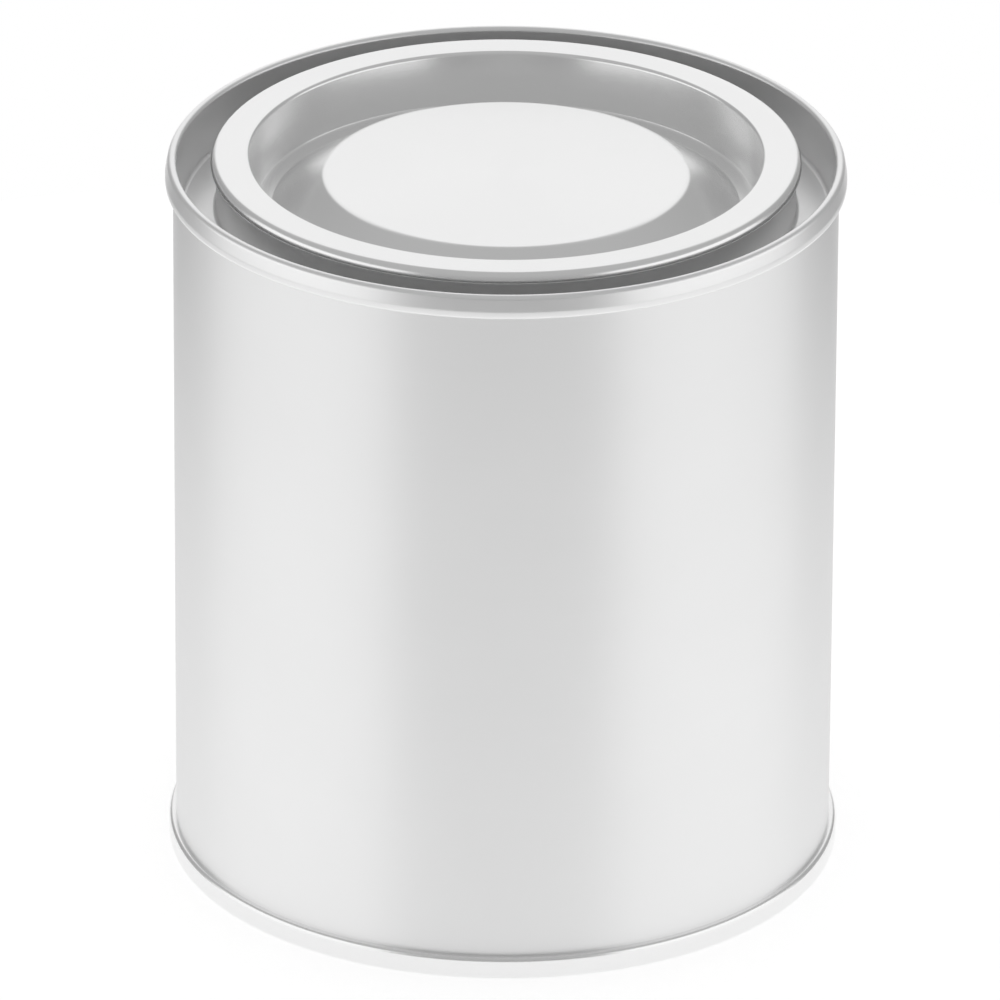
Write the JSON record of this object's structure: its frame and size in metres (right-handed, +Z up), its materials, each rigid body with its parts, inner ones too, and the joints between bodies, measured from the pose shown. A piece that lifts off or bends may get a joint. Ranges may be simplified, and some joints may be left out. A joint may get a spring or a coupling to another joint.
{
  "type": "lever-lid tin",
  "caption": "Round bare tinplate tin, shut: a plain side wall between double seams, a ring with a raised mouth bead, and a lever lid with a curled edge and a raised panel.",
  "frame": {"origin": "centre of the surface the tin stands on, under the lower double seam", "axes": "+Z up along the tin's axis, -Y is the front, the side seam's weld is at the back on +Y"},
  "size_m": [0.0742, 0.0742, 0.0819],
  "materials": {
    "wall": "satin tinplate, fine rolling grain along the height",
    "ends": "bright tinplate, formed and double seamed",
    "lid": "satin tinplate, pressed"
  },
  "bodies": {
    "root": {"body": "wall", "bottom_end": "ends", "ring": "ends", "lid": "lid"}
  },
  "joints": []
}
